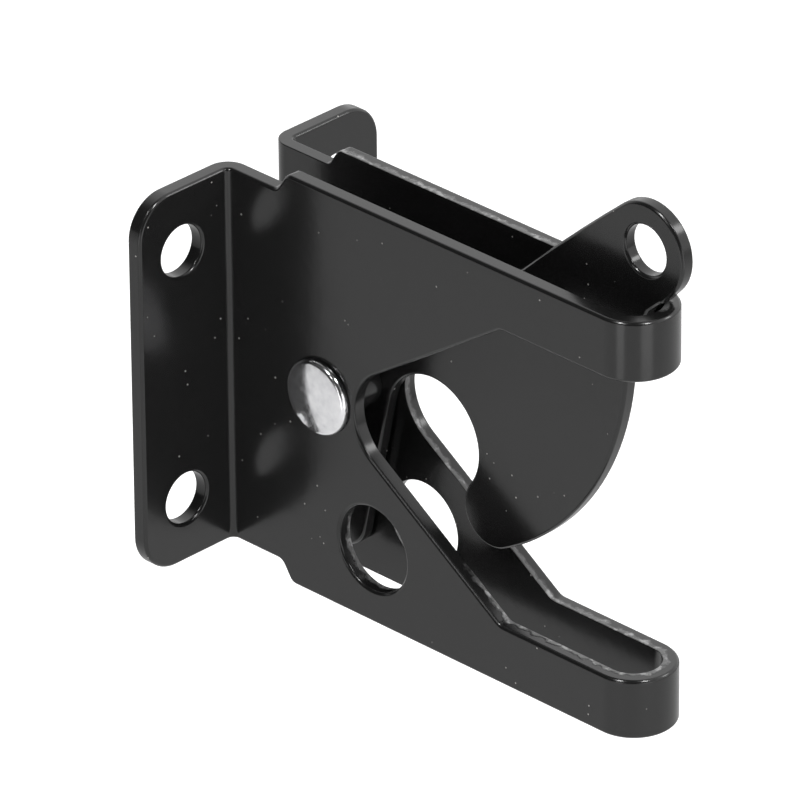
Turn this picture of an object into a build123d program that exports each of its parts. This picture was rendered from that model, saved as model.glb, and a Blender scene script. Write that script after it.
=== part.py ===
from build123d import *
import os
from math import acos, atan2, cos, degrees, hypot, radians, sin, tan

os.makedirs("parts", exist_ok=True)

# Self-locking gate latch, millimetres.
# X runs from the post towards the open mouth, Y across the folded sheet, Z up.
# The origin is the centre of the four screw holes, on the back of the flanges.

# Folded sheet
sheet = 2.0
width = 11.0
bend_inside = 0.8
flange_reach = 20.5
flange_corner = 5.2
arm_half_height = 28.3
tip_x = 65.0

# Step down from the arms to the flanges
step_height = 2.6
step_x = 11.2
step_angle = 57.0
step_radius = 1.3

# Mouth for the bar
mouth_half_height = 20.25
mouth_corner_x = 47.9
mouth_end_radius = 7.0
mouth_corner_radius = 2.0

# Screw holes and the padlock hole
screw_hole = 6.8
screw_y = 13.3
screw_z = 17.1
lock_hole = 11.5
lock_x = 26.2
lock_z = -18.1

# Rivet and spacer
pivot_x = 17.5
rivet_shank = 5.0
rivet_head = 10.0
rivet_head_height = 1.4
rivet_end = 8.4
rivet_end_height = 1.3
rivet_edge = 0.7
crown_radius = 30.0
running_clearance = 0.05
spacer_outer = 7.6
side_clearance = 0.1

# Catch plate: head above the arm's tip, strap down to the slot, neck inside the bend
catch_thickness = 2.0
head_forward = 0.2
head_rise = 6.3
head_radius = 6.2
pull_hole = 6.5
strap_back = 20.1
strap_drop = 3.6
strap_bulge = 0.2
strap_top_angle = 128.0
shoulder_angle = -42.0
rest_reach = 2.9
rest_gap = 0.05
rest_corner = 0.8
neck_back = 2.6
lobe_z = 19.5
lobe_radius = 38.9
point_angle = -61.9
point_radius = 4.6
pocket_angle = 143.8
pocket_radius = 7.7
tail_x = 14.2
tail_z = -20.9
tail_radius = 3.7
hub_radius = 6.2

# Bevel that takes the sharpness off the punched edges
edge_break = 0.3

half_width = width / 2
inner_half = half_width - sheet
flange_half_height = arm_half_height - step_height
far = 100.0


def side_prism(sketch, y_from, y_to):
    """Extrude an X-Z sketch between two Y positions."""
    solid = extrude(Plane.XZ * sketch, y_to - y_from)
    return Pos(0, y_to, 0) * solid


def cross_hole(x, z, diameter, length=far):
    """Round cutter along Y."""
    return Pos(x, 0, z) * Rot(90, 0, 0) * Cylinder(diameter / 2, length)


def is_outer_skin(face):
    """True for the outer side of the folded sheet: plates, arm bends, flange fronts."""
    centre = face.center_location.position
    if face.geom_type == GeomType.CYLINDER:
        upright = abs(face.axis_of_rotation.direction.Z) > 0.9
        return upright and min(abs(face.radius - half_width), abs(face.radius - bend_inside)) < 0.01
    return abs(abs(centre.Y) - half_width) < 0.01 or abs(centre.X - sheet) < 0.01


def outer_rims(body):
    """Edges where the outer skin ends at a cut edge of the sheet."""
    edges = [e for face in body.faces() if is_outer_skin(face) for e in face.edges()]
    return ShapeList(e for e in edges if sum(e.is_same(other) for other in edges) == 1)


def build_housing():
    # Strip section seen from above: U with two outward flanges
    outer = Pos(tip_x / 2, 0) * Rectangle(tip_x, width)
    outer += Pos(tip_x, 0) * Circle(half_width)
    inner = Pos((tip_x - sheet) / 2, 0) * Rectangle(tip_x + sheet, 2 * inner_half)
    inner += Pos(tip_x, 0) * Circle(inner_half)
    section = outer - inner
    for side in (-1, 1):
        reach = flange_reach - inner_half
        section += Pos(sheet / 2, side * (inner_half + reach / 2)) * Rectangle(sheet, reach)
    concave = [v for v in section.vertices() if abs(v.X - sheet) < 0.01 and abs(abs(v.Y) - half_width) < 0.01]
    section = fillet(concave, bend_inside)
    convex = [v for v in section.vertices() if abs(v.X) < 0.01 and abs(abs(v.Y) - inner_half) < 0.01]
    section = fillet(convex, bend_inside + sheet)
    strip = extrude(section, arm_half_height, both=True)

    # Side outline of the strip
    run = step_height / tan(radians(step_angle)) / 2
    end_x = tip_x + width
    low, high = flange_half_height, arm_half_height
    outline = make_face(Polyline(
        (-1, -low), (step_x - run, -low), (step_x + run, -high), (end_x, -high),
        (end_x, high), (step_x + run, high), (step_x - run, low), (-1, low), close=True))
    steps = [v for v in outline.vertices() if abs(v.X - step_x) < 2 * run]
    outline = fillet(steps, step_radius)

    # Mouth: straight sides that aim at the pivot, a round closed end, parallel arms
    mouth = make_face(Polyline(
        (pivot_x, 0), (mouth_corner_x, mouth_half_height), (far, mouth_half_height),
        (far, -mouth_half_height), (mouth_corner_x, -mouth_half_height), close=True))
    apex = [v for v in mouth.vertices() if v.X < mouth_corner_x - 1]
    mouth = fillet(apex, mouth_end_radius)
    corners = [v for v in mouth.vertices() if abs(v.X - mouth_corner_x) < 0.01]
    mouth = fillet(corners, mouth_corner_radius)
    outline -= mouth

    body = strip & side_prism(outline, -2 * flange_reach, 2 * flange_reach)
    corner_edges = body.edges().filter_by(Axis.X)
    corner_edges = [e for e in corner_edges if abs(e.center().Y) > flange_reach - 0.01]
    body = fillet(corner_edges, flange_corner)
    for side in (-1, 1):
        for level in (-1, 1):
            body -= Pos(0, side * screw_y, level * screw_z) * Rot(0, 90, 0) * Cylinder(screw_hole / 2, 4 * sheet)
    body -= cross_hole(lock_x, lock_z, lock_hole)
    body = chamfer(outer_rims(body), edge_break)
    body -= cross_hole(pivot_x, 0, rivet_shank + 2 * running_clearance)
    return body


def on_circle(centre, radius, angle):
    return (centre[0] + radius * cos(radians(angle)), centre[1] + radius * sin(radians(angle)))


def round_part(centre, radius, from_angle, to_angle):
    """Arc of a circle between two angles in degrees."""
    middle = (from_angle + to_angle) / 2
    return ThreePointArc(
        on_circle(centre, radius, from_angle),
        on_circle(centre, radius, middle),
        on_circle(centre, radius, to_angle))


def tangent_angle(first, first_radius, second, second_radius, side, crossed=False):
    """Direction, in degrees, of the touching point on the first circle of a shared tangent."""
    line = degrees(atan2(second[1] - first[1], second[0] - first[0]))
    span = hypot(second[0] - first[0], second[1] - first[1])
    other = -second_radius if crossed else second_radius
    return line + side * degrees(acos((first_radius - other) / span))


def build_catch():
    head = (tip_x + head_forward, arm_half_height + head_rise)
    hub = (pivot_x, 0)
    tail = (tail_x, tail_z)
    neck_x = tip_x - neck_back
    lobe = (neck_x - lobe_radius, lobe_z)
    point = on_circle(lobe, lobe_radius - point_radius, point_angle)
    pocket = on_circle(point, point_radius + pocket_radius, pocket_angle)
    rest_x = tip_x + rest_reach
    rest_z = arm_half_height + rest_gap
    strap_low = (tip_x - strap_back, arm_half_height - strap_drop)
    strap_top = on_circle(head, head_radius, strap_top_angle)
    shoulder = on_circle(head, head_radius, shoulder_angle)

    # Hidden upper edge from the hub to the strap, then the strap up to the head
    hub_top = tangent_angle(hub, hub_radius, strap_low, 0, 1)
    edges = Line(on_circle(hub, hub_radius, hub_top), strap_low)
    edges += SagittaArc(strap_low, strap_top, strap_bulge)
    edges += round_part(head, head_radius, strap_top_angle, shoulder_angle)

    # Shoulder that rests on the rim of the upper arm, neck inside the arm's bend
    edges += Line(shoulder, (rest_x, rest_z))
    edges += Line((rest_x, rest_z), (neck_x, rest_z))
    edges += Line((neck_x, rest_z), (neck_x, lobe_z))

    # Hook lobe, rounded point, arched pocket
    edges += round_part(lobe, lobe_radius, 0, point_angle)
    edges += round_part(point, point_radius, point_angle, pocket_angle - 360)
    pocket_start = pocket_angle - 180
    pocket_end = tangent_angle(pocket, pocket_radius, tail, tail_radius, -1, crossed=True)
    edges += round_part(pocket, pocket_radius, pocket_start, pocket_end % 360)

    # Tail and hub
    tail_right = tangent_angle(tail, tail_radius, pocket, pocket_radius, -1, crossed=True)
    tail_left = tangent_angle(tail, tail_radius, hub, hub_radius, 1)
    hub_left = tangent_angle(hub, hub_radius, tail, tail_radius, -1)
    edges += Line(on_circle(pocket, pocket_radius, pocket_end), on_circle(tail, tail_radius, tail_right))
    edges += round_part(tail, tail_radius, tail_right, tail_left - 360)
    edges += Line(on_circle(tail, tail_radius, tail_left), on_circle(hub, hub_radius, hub_left))
    edges += round_part(hub, hub_radius, hub_left % 360, hub_top)

    profile = make_face(edges)
    resting = [v for v in profile.vertices() if abs(v.Y - rest_z) < 0.01]
    profile = fillet(resting, rest_corner)
    front = inner_half - side_clearance - catch_thickness
    body = side_prism(profile, front, front + catch_thickness)
    body -= cross_hole(*head, pull_hole)
    rims = ShapeList(e for face in body.faces().filter_by(Axis.Y) for e in face.edges())
    body = chamfer(rims, edge_break)
    body -= cross_hole(pivot_x, 0, rivet_shank + 2 * running_clearance)
    return body


def button(diameter, height):
    """Low rivet head standing on Z = 0: slightly crowned top, rounded edge."""
    body = Cylinder(diameter / 2, 2 * height)
    body &= Pos(0, 0, height - crown_radius) * Sphere(crown_radius)
    body &= Pos(0, 0, height) * Box(diameter, diameter, 2 * height)
    rims = body.edges().filter_by(lambda edge: edge.length > 3 * diameter).sort_by(Axis.Z)
    return fillet(rims[-1], rivet_edge)


def build_rivet():
    shank = cross_hole(pivot_x, 0, rivet_shank, width + rivet_end_height)
    head = Pos(pivot_x, -half_width, 0) * Rot(90, 0, 0) * button(rivet_head, rivet_head_height)
    formed = Pos(pivot_x, half_width, 0) * Rot(-90, 0, 0) * button(rivet_end, rivet_end_height)
    return shank + head + formed


def build_spacer():
    front = -inner_half + running_clearance
    length = inner_half - 2 * side_clearance - catch_thickness - front
    ring = Cylinder(spacer_outer / 2, length) - Cylinder(rivet_shank / 2 + running_clearance, 2 * length)
    return Pos(pivot_x, front + length / 2, 0) * Rot(90, 0, 0) * ring


housing = build_housing()
housing.label = "housing"
export_step(housing, "parts/housing.step")

catch = build_catch()
catch.label = "catch"
export_step(catch, "parts/catch.step")

rivet = build_rivet()
rivet.label = "rivet"
export_step(rivet, "parts/rivet.step")

spacer = build_spacer()
spacer.label = "spacer"
export_step(spacer, "parts/spacer.step")
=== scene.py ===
from math import cos, radians, sin

import bpy
from mathutils import Matrix, Vector

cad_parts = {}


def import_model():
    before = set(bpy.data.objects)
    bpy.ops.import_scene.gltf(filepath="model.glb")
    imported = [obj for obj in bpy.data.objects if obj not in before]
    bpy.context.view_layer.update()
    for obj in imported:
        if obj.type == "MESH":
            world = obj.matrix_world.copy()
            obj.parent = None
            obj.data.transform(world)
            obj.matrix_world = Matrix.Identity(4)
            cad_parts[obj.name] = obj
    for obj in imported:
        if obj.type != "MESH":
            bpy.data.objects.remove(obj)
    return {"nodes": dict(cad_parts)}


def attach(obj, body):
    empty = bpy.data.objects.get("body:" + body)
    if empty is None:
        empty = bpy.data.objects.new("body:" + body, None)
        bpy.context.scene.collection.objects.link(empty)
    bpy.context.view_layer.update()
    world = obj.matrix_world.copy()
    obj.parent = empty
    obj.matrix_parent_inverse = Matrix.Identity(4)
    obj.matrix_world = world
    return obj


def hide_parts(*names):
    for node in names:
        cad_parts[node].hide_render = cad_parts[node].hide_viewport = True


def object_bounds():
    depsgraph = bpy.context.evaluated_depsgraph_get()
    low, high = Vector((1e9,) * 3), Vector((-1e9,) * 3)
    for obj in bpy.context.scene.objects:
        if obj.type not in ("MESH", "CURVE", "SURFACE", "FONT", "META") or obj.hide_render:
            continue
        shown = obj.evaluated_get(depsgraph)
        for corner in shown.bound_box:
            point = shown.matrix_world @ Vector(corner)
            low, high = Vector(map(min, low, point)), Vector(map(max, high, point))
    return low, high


MM = 0.001

# Camera: fitted to the edges of the latch, in degrees, millimetres and the image size
CAMERA_AZIMUTH = 44.873
CAMERA_ELEVATION = 28.448
CAMERA_ROLL = -0.464
CAMERA_RIGHT = 18.307
CAMERA_UP = -8.2
CAMERA_BACK = 1333.9
CAMERA_LENS = 488.27
SENSOR = 36.0

# Stage: floor under the latch, and a soft surround that is dark overhead on the camera's side
FLOOR_DROP = 60.0
FLOOR_SIZE = 6000.0
FLOOR_SHADE = 0.84
FLOOR_GLOW = 0.6
DARK_SIDE = (0.1, -0.9, 0.42)
DARK_FADE = (0.05, 0.5)
SURROUND_LIGHT = 1.28
SURROUND_DARK = 0.065

# Lamps: azimuth and elevation in degrees, distance, width and height in millimetres, watts
LAMP_TARGET = (65, 0, 5)
LAMPS = (
    ("lamp_left", -94, 55, 500, 60, 90, 0.65),
    ("lamp_right", -7, 57, 500, 60, 90, 0.65),
    ("lamp_edge", -80, 41, 500, 60, 60, 0.05),
    ("lamp_rim", 52, 38, 500, 100, 100, 0.25),
    ("strip_left", -82, -3, 200, 62, 150, 0.045),
    ("strip_right", -17, -3, 200, 100, 150, 0.07),
)

# Finishes: colours, and the depth of each one's relief in millimetres
COAT_BLACK = (0.0095, 0.0095, 0.0095, 1)
DUST = (0.5, 0.49, 0.47, 1)
# Light grey on the burr: chipped coating, and also a painted highlight along the burr's ridge
CHIPPED_COAT_AND_RIDGE_HIGHLIGHT = (0.4, 0.4, 0.4, 1)
ZINC_LIGHT = (0.86, 0.86, 0.87, 1)
ZINC_DULL = (0.74, 0.74, 0.76, 1)
COAT_RELIEF = 0.02
CUT_RELIEF = 0.12
ZINC_RELIEF = 0.01
FINISH_OUTPUTS = (
    ("Base Color", "NodeSocketColor"),
    ("Roughness", "NodeSocketFloat"),
    ("Height", "NodeSocketFloat"),
)

# Joining a node's triangles: how close corners are one, in millimetres, and how flat a face is, in degrees
JOIN_WITHIN = 0.002
SLIVER = 0.01
FLAT_WITHIN = 0.4

# Rounding of the edges of the coated sheet, in millimetres and degrees
EDGE_ROUND = 0.13
EDGE_SEGMENTS = 3
EDGE_SHARPER_THAN = 28
SMOOTH_SHEET = 40
SMOOTH_RIVET = 35

# Corner between the catch's neck and shoulder: where it is, and the point that it is filled to
CATCH_MIDDLE = 2.4
NECK_BOX = (61.9, 63.6, 26.9, 28.9)
NECK_CORNER = (65.6, 26.6)

# Rings of that corner by their distance from the middle of the plate, and how far each stands back
NECK_RINGS = ((0.95, 1.05, 0.2), (0.8, 0.9, 0.1), (0.0, 0.75, 0.0))

# Where the punched edges of the housing start, and the round bends of its arms
CUT_FROM = 12.0
BEND_FROM = 65.0

# Burr: from where to where it fades out across the sheet, and how far its border wanders
BURR_FADE = (4.3, 3.9)
BURR_WANDER = 0.4

# The burr is on the back plate, and on both plates of the lower arm
BACK_FADE = (0.0, 1.0)
LOW_FADE = (-15.0, -17.0)


def clear_selection():
    if bpy.context.object and bpy.context.object.mode != "OBJECT":
        bpy.ops.object.mode_set(mode="OBJECT")
    bpy.ops.object.select_all(action="DESELECT")


def pick(piece):
    clear_selection()
    piece.select_set(True)
    bpy.context.view_layer.objects.active = piece


# Node groups and materials

def group(name, inputs, outputs):
    """Empty node group with named sockets, and its input and output nodes."""
    tree = bpy.data.node_groups.new(name, "ShaderNodeTree")
    for label, kind, value in inputs:
        socket = tree.interface.new_socket(name=label, in_out="INPUT", socket_type=kind)
        socket.default_value = value
    for label, kind in outputs:
        tree.interface.new_socket(name=label, in_out="OUTPUT", socket_type=kind)
    start = tree.nodes.new("NodeGroupInput")
    end = tree.nodes.new("NodeGroupOutput")
    return tree, start, end


def noise(tree, vector, scale, detail=2.0, roughness=0.5):
    node = tree.nodes.new("ShaderNodeTexNoise")
    node.inputs["Scale"].default_value = scale
    node.inputs["Detail"].default_value = detail
    node.inputs["Roughness"].default_value = roughness
    tree.links.new(vector, node.inputs["Vector"])
    return node.outputs["Fac"]


def remap(tree, value, low, high, to_low=0.0, to_high=1.0):
    node = tree.nodes.new("ShaderNodeMapRange")
    node.inputs["From Min"].default_value = low
    node.inputs["From Max"].default_value = high
    node.inputs["To Min"].default_value = to_low
    node.inputs["To Max"].default_value = to_high
    tree.links.new(value, node.inputs["Value"])
    return node.outputs["Result"]


def fade(tree, value, ends):
    """0 to 1 between two places given in millimetres."""
    return remap(tree, value, ends[0] * MM, ends[1] * MM)


def combine(tree, operation, first, second):
    node = tree.nodes.new("ShaderNodeMath")
    node.operation = operation
    for place, value in enumerate((first, second)):
        if isinstance(value, (int, float)):
            node.inputs[place].default_value = value
        else:
            tree.links.new(value, node.inputs[place])
    return node.outputs[0]


def blend_colour(tree, factor, first, second):
    node = tree.nodes.new("ShaderNodeMix")
    node.data_type = "RGBA"
    tree.links.new(factor, node.inputs["Factor"])
    for place, value in (("A", first), ("B", second)):
        socket = [s for s in node.inputs if s.name == place and s.type == "RGBA"][0]
        if isinstance(value, tuple):
            socket.default_value = value
        else:
            tree.links.new(value, socket)
    return [s for s in node.outputs if s.type == "RGBA"][0]


def coating_group():
    """Black gloss coating: faint waviness, a few dust specks and dulled patches."""
    tree, start, end = group(
        "gloss_coating",
        [("Colour", "NodeSocketColor", COAT_BLACK), ("Dust", "NodeSocketFloat", 1.0)],
        FINISH_OUTPUTS)
    place = tree.nodes.new("ShaderNodeTexCoord").outputs["Object"]
    waves = noise(tree, place, 300.0, 3.0)
    grit = noise(tree, place, 2600.0, 2.0)
    patches = noise(tree, place, 60.0, 4.0, 0.6)
    cells = tree.nodes.new("ShaderNodeTexVoronoi")
    cells.inputs["Scale"].default_value = 500.0
    cells.inputs["Randomness"].default_value = 1.0
    tree.links.new(place, cells.inputs["Vector"])
    speck = remap(tree, cells.outputs["Distance"], 0.07, 0.03)
    chosen = remap(tree, noise(tree, place, 150.0, 1.0), 0.5, 0.52)
    speck = combine(tree, "MULTIPLY", speck, chosen)
    speck = combine(tree, "MULTIPLY", speck, start.outputs["Dust"])
    colour = blend_colour(tree, speck, start.outputs["Colour"], DUST)
    tree.links.new(colour, end.inputs["Base Color"])
    dull = remap(tree, patches, 0.4, 0.75, 0.17, 0.25)
    tree.links.new(combine(tree, "ADD", dull, combine(tree, "MULTIPLY", speck, 0.4)), end.inputs["Roughness"])
    height = combine(tree, "ADD", waves, combine(tree, "MULTIPLY", grit, 0.03))
    height = combine(tree, "ADD", height, combine(tree, "MULTIPLY", speck, 0.6))
    tree.links.new(height, end.inputs["Height"])
    return tree


def cut_group():
    """Coating over a punched edge: smooth beside the outside, ragged burr along the inside, with chipped
    coating and a painted highlight along the burr's ridge.
    """
    tree, start, end = group(
        "punched_edge",
        [("Colour", "NodeSocketColor", COAT_BLACK), ("Burr", "NodeSocketFloat", 1.0)],
        FINISH_OUTPUTS)
    place = tree.nodes.new("ShaderNodeTexCoord").outputs["Object"]
    axes = tree.nodes.new("ShaderNodeSeparateXYZ")
    tree.links.new(place, axes.inputs[0])
    along, across, up = (axes.outputs[axis] for axis in "XYZ")
    past_bend = combine(tree, "MAXIMUM", combine(tree, "SUBTRACT", along, BEND_FROM * MM), 0.0)
    side = combine(tree, "MULTIPLY", across, across)
    side = combine(tree, "ADD", side, combine(tree, "MULTIPLY", past_bend, past_bend))
    side = combine(tree, "SQRT", side, 0.0)
    wander = remap(tree, noise(tree, place, 700.0, 3.0), 0.3, 0.7, -BURR_WANDER * MM, BURR_WANDER * MM)
    side = combine(tree, "ADD", side, wander)
    inside = fade(tree, side, BURR_FADE)
    back_or_low = combine(tree, "MAXIMUM", fade(tree, across, BACK_FADE), fade(tree, up, LOW_FADE))
    inside = combine(tree, "MULTIPLY", inside, back_or_low)
    burr = combine(tree, "MULTIPLY", inside, start.outputs["Burr"])
    grain = noise(tree, place, 1000.0, 4.0, 0.6)
    chips_and_ridge_highlight = remap(tree, noise(tree, place, 650.0, 5.0, 0.65), 0.52, 0.6)
    # The lighter base of 0.3 across the whole burr is a painted highlight along its ridge; the noise on top
    # of it is chipped coating
    chips_and_ridge_highlight = combine(tree, "MULTIPLY", remap(tree, chips_and_ridge_highlight, 0.0, 1.0, 0.3, 1.0), burr)
    shown = combine(tree, "MULTIPLY", chips_and_ridge_highlight, 0.8)
    colour = blend_colour(tree, shown, start.outputs["Colour"], CHIPPED_COAT_AND_RIDGE_HIGHLIGHT)
    tree.links.new(colour, end.inputs["Base Color"])
    tree.links.new(remap(tree, burr, 0.0, 1.0, 0.2, 0.3), end.inputs["Roughness"])
    lift = combine(tree, "ADD", combine(tree, "MULTIPLY", burr, 0.99), 0.01)
    tree.links.new(combine(tree, "MULTIPLY", grain, lift), end.inputs["Height"])
    return tree


def plating_group():
    """Bright zinc plating: slight mottling and fine handling marks."""
    tree, start, end = group("zinc_mottle", [("Colour", "NodeSocketColor", ZINC_LIGHT)], FINISH_OUTPUTS)
    place = tree.nodes.new("ShaderNodeTexCoord").outputs["Object"]
    mottle = noise(tree, place, 900.0, 4.0, 0.6)
    tint = remap(tree, mottle, 0.35, 0.7)
    colour = blend_colour(tree, tint, start.outputs["Colour"], ZINC_DULL)
    tree.links.new(colour, end.inputs["Base Color"])
    tree.links.new(remap(tree, mottle, 0.3, 0.7, 0.08, 0.2), end.inputs["Roughness"])
    tree.links.new(noise(tree, place, 700.0, 2.0), end.inputs["Height"])
    return tree


def surface(name, detail, relief_depth, metallic=0.0):
    """Material whose colour, gloss and relief come from one detail group."""
    material = bpy.data.materials.new(name)
    material.use_nodes = True
    tree = material.node_tree
    shader = tree.nodes["Principled BSDF"]
    use = tree.nodes.new("ShaderNodeGroup")
    use.node_tree = detail
    relief = tree.nodes.new("ShaderNodeBump")
    relief.inputs["Strength"].default_value = 1.0
    relief.inputs["Distance"].default_value = relief_depth * MM
    tree.links.new(use.outputs["Base Color"], shader.inputs["Base Color"])
    tree.links.new(use.outputs["Roughness"], shader.inputs["Roughness"])
    tree.links.new(use.outputs["Height"], relief.inputs["Height"])
    tree.links.new(relief.outputs["Normal"], shader.inputs["Normal"])
    shader.inputs["Metallic"].default_value = metallic
    shader.inputs["IOR"].default_value = 1.5
    return material


def join_triangles(source, name, flatten):
    """Copy of a CAD node's mesh with its triangles joined, and if asked its flat faces made whole."""
    piece = bpy.data.objects.new(name, source.data.copy())
    piece.data.transform(source.matrix_world)
    bpy.context.scene.collection.objects.link(piece)
    pick(piece)
    bpy.ops.object.mode_set(mode="EDIT")
    bpy.ops.mesh.select_all(action="SELECT")
    bpy.ops.mesh.remove_doubles(threshold=JOIN_WITHIN * MM)
    bpy.ops.mesh.dissolve_degenerate(threshold=SLIVER * MM)
    if flatten:
        bpy.ops.mesh.dissolve_limited(angle_limit=radians(FLAT_WITHIN))
    bpy.ops.mesh.normals_make_consistent(inside=False)
    bpy.ops.object.mode_set(mode="OBJECT")
    return piece


def fill_neck(piece):
    """Slope the catch's edge from its shoulder down to the lobe, inside the bend of the upper arm."""
    low_x, high_x, low_z, high_z = (v * MM for v in NECK_BOX)
    for near, far, spread in NECK_RINGS:
        pick(piece)
        bpy.ops.object.mode_set(mode="EDIT")
        bpy.ops.mesh.select_mode(type="VERT")
        bpy.ops.mesh.select_all(action="DESELECT")
        bpy.ops.object.mode_set(mode="OBJECT")
        for vertex in piece.data.vertices:
            place = vertex.co
            inside = low_x < place.x < high_x and low_z < place.z < high_z
            vertex.select = inside and near * MM < abs(place.y - CATCH_MIDDLE * MM) < far * MM
        corner = Vector((NECK_CORNER[0] - spread, CATCH_MIDDLE, NECK_CORNER[1] + spread)) * MM
        bpy.ops.object.mode_set(mode="EDIT")
        bpy.ops.transform.resize(value=(0, 1, 0), center_override=corner)
        bpy.ops.mesh.remove_doubles(threshold=JOIN_WITHIN * MM)
        bpy.ops.object.mode_set(mode="OBJECT")


def apply_modifier(piece, kind, **settings):
    pick(piece)
    bpy.ops.object.modifier_add(type=kind)
    modifier = piece.modifiers[-1]
    for label, value in settings.items():
        setattr(modifier, label, value)
    bpy.ops.object.modifier_apply(modifier=modifier.name)


def smooth(piece, angle, weight):
    """Shade smooth up to an angle in degrees, with the large faces leading the light."""
    pick(piece)
    bpy.ops.object.shade_smooth_by_angle(angle=radians(angle))
    apply_modifier(piece, "WEIGHTED_NORMAL", keep_sharp=True, weight=weight)


def soften(piece, width):
    """Round every edge by a small width and keep the flat faces flat in the light."""
    apply_modifier(
        piece, "BEVEL", limit_method="ANGLE", angle_limit=radians(EDGE_SHARPER_THAN), width=width * MM,
        segments=EDGE_SEGMENTS, use_clamp_overlap=True)
    smooth(piece, SMOOTH_SHEET, 80)


def stand_in(frame, node, body, material, width=None):
    """Softened copy of a CAD node that is shown in its place."""
    piece = join_triangles(frame["nodes"][node], node + "_finish", width is not None)
    if node == "catch":
        fill_neck(piece)
    if width:
        soften(piece, width)
    else:
        smooth(piece, SMOOTH_RIVET, 50)
    dress(piece, material)
    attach(piece, body)
    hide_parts(node)
    return piece


def mark_cut_faces(piece, material):
    """Give the punched edges of the folded sheet their own material."""
    piece.data.materials.append(material)
    for face in piece.data.polygons:
        level = abs(face.normal.z) > 0.5
        across = abs(face.normal.y) < 0.35 and face.center.x < BEND_FROM * MM
        if face.center.x > CUT_FROM * MM and (level or across):
            face.material_index = 1


def dress(piece, material):
    piece.data.materials.clear()
    piece.data.materials.append(material)


# Camera, floor and lights

def add_camera():
    azimuth, elevation, roll = (radians(v) for v in (CAMERA_AZIMUTH, CAMERA_ELEVATION, CAMERA_ROLL))
    back = Vector((sin(azimuth) * cos(elevation), -cos(azimuth) * cos(elevation), sin(elevation)))
    right = Vector((cos(azimuth), sin(azimuth), 0))
    up = back.cross(right)
    turned_right = right * cos(roll) + up * sin(roll)
    turned_up = up * cos(roll) - right * sin(roll)
    place = (turned_right * CAMERA_RIGHT + turned_up * CAMERA_UP + back * CAMERA_BACK) * MM
    camera = bpy.data.objects.new("camera", bpy.data.cameras.new("camera"))
    bpy.context.scene.collection.objects.link(camera)
    camera.data.sensor_width = SENSOR
    camera.data.lens = CAMERA_LENS
    camera.data.clip_start = 0.01
    camera.data.clip_end = 50.0
    frame_axes = Matrix((turned_right, turned_up, back)).transposed().to_4x4()
    camera.matrix_world = Matrix.Translation(place) @ frame_axes
    bpy.context.scene.camera = camera


def floor_material():
    """Pale matt paper that the camera sees as white, with its shadow kept."""
    material = bpy.data.materials.new("floor_paper")
    material.use_nodes = True
    tree = material.node_tree
    shader = tree.nodes["Principled BSDF"]
    shader.inputs["Base Color"].default_value = (FLOOR_SHADE, FLOOR_SHADE, FLOOR_SHADE, 1)
    shader.inputs["Roughness"].default_value = 0.9
    shader.inputs["Specular IOR Level"].default_value = 0.1
    ray = tree.nodes.new("ShaderNodeLightPath")
    amount = combine(tree, "MULTIPLY", ray.outputs["Is Camera Ray"], FLOOR_GLOW)
    shader.inputs["Emission Color"].default_value = (1, 1, 1, 1)
    tree.links.new(amount, shader.inputs["Emission Strength"])
    return material


def add_floor(low):
    clear_selection()
    bpy.ops.mesh.primitive_plane_add(size=FLOOR_SIZE * MM, location=(0, 0, low - FLOOR_DROP * MM))
    floor = bpy.context.object
    floor.name = "floor"
    dress(floor, floor_material())


def add_world():
    """Soft white surround that is dark overhead on the camera's side."""
    world = bpy.data.worlds.new("studio")
    bpy.context.scene.world = world
    world.use_nodes = True
    tree = world.node_tree
    background = tree.nodes["Background"]
    direction = tree.nodes.new("ShaderNodeTexCoord").outputs["Generated"]
    shade = tree.nodes.new("ShaderNodeVectorMath")
    shade.operation = "DOT_PRODUCT"
    shade.inputs[1].default_value = Vector(DARK_SIDE).normalized()
    tree.links.new(direction, shade.inputs[0])
    light = remap(tree, shade.outputs["Value"], *DARK_FADE, SURROUND_LIGHT, SURROUND_DARK)
    ray = tree.nodes.new("ShaderNodeLightPath")
    away = combine(tree, "SUBTRACT", 1.0, ray.outputs["Is Camera Ray"])
    light = combine(tree, "MULTIPLY", light, away)
    strength = combine(tree, "ADD", light, ray.outputs["Is Camera Ray"])
    background.inputs["Color"].default_value = (1, 1, 1, 1)
    tree.links.new(strength, background.inputs["Strength"])


def add_lamp(name, azimuth, elevation, distance, width, height, power):
    """Soft rectangular lamp aimed at the tips of the arms."""
    turn, lift = radians(azimuth), radians(elevation)
    away = Vector((cos(turn) * cos(lift), sin(turn) * cos(lift), sin(lift)))
    middle = Vector(LAMP_TARGET) * MM
    lamp = bpy.data.objects.new(name, bpy.data.lights.new(name, "AREA"))
    bpy.context.scene.collection.objects.link(lamp)
    lamp.data.shape = "RECTANGLE"
    lamp.data.size = width * MM
    lamp.data.size_y = height * MM
    lamp.data.energy = power
    lamp.location = middle + away * distance * MM
    lamp.rotation_euler = away.to_track_quat("Z", "Y").to_euler()


def main():
    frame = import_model()
    cad_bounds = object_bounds()
    bpy.context.scene.view_settings.view_transform = "Standard"
    black = surface("black_coating", coating_group(), COAT_RELIEF)
    zinc = surface("zinc_plating", plating_group(), ZINC_RELIEF, metallic=1.0)
    cut = surface("black_coating_cut", cut_group(), CUT_RELIEF)
    housing = stand_in(frame, "housing", "housing", black, EDGE_ROUND)
    mark_cut_faces(housing, cut)
    catch = stand_in(frame, "catch", "catch", black, EDGE_ROUND)
    rivet = stand_in(frame, "rivet", "housing", zinc)
    spacer = frame["nodes"]["spacer"]
    # The spacer gets the black coating as painted shade: it stands for the shade inside the mouth of the
    # housing
    dress(spacer, black)
    add_camera()
    add_floor(cad_bounds[0][2])
    add_world()
    for lamp in LAMPS:
        add_lamp(*lamp)


main()
